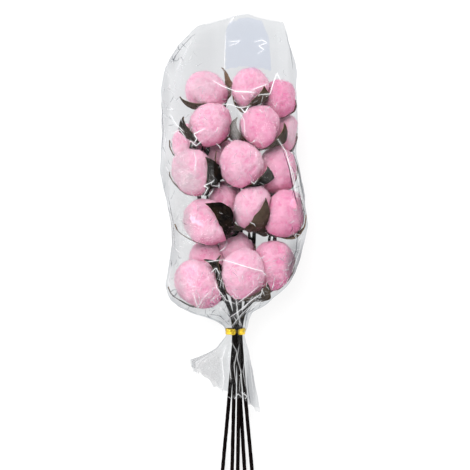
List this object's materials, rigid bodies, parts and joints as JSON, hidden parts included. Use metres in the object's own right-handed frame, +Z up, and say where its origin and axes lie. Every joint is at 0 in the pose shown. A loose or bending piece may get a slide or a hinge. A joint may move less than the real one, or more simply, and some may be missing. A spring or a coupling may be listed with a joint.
{
  "type": "cotton stem bunch",
  "caption": "Bunch of dark stems with dyed pink cotton heads in dry brown burrs, in a clear film sleeve gathered at the neck by a gold twist tie.",
  "frame": {"origin": "on the sleeve's flat underside, where the bunch rests, below the middle of the heads", "axes": "+Y from the cut stem ends towards the heads and the sleeve's closed end, +X to the right as seen from above, +Z up from the surface that the bunch lies on"},
  "size_m": [0.1678, 0.5534, 0.0959],
  "materials": {
    "stem": "dark dried bark, satin",
    "cotton": "dyed pink lint, matte",
    "burr": "dry brown husk, dark outside and tan inside",
    "film": "clear crinkled film, glossy",
    "foil": "gold foil over a wire core, glossy"
  },
  "bodies": {
    "root": {"stem_1": "stem", "stem_2": "stem", "stem_3": "stem", "stem_4": "stem", "stem_5": "stem", "cotton_01": "cotton", "cotton_02": "cotton", "cotton_03": "cotton", "cotton_04": "cotton", "cotton_05": "cotton", "cotton_06": "cotton", "cotton_07": "cotton", "cotton_08": "cotton", "cotton_09": "cotton", "cotton_10": "cotton", "cotton_11": "cotton", "cotton_12": "cotton", "cotton_13": "cotton", "cotton_14": "cotton", "cotton_15": "cotton", "cotton_16": "cotton", "cotton_17": "cotton", "cotton_18": "cotton", "cotton_19": "cotton", "cotton_20": "cotton", "burr_01": "burr", "burr_02": "burr", "burr_03": "burr", "burr_04": "burr", "burr_05": "burr", "burr_06": "burr", "burr_07": "burr", "burr_08": "burr", "burr_09": "burr", "burr_10": "burr", "burr_11": "burr", "burr_12": "burr", "burr_13": "burr", "burr_14": "burr", "burr_15": "burr", "burr_16": "burr", "burr_17": "burr", "burr_18": "burr", "burr_19": "burr", "burr_20": "burr", "sleeve": "film", "tie": "foil"}
  },
  "joints": []
}
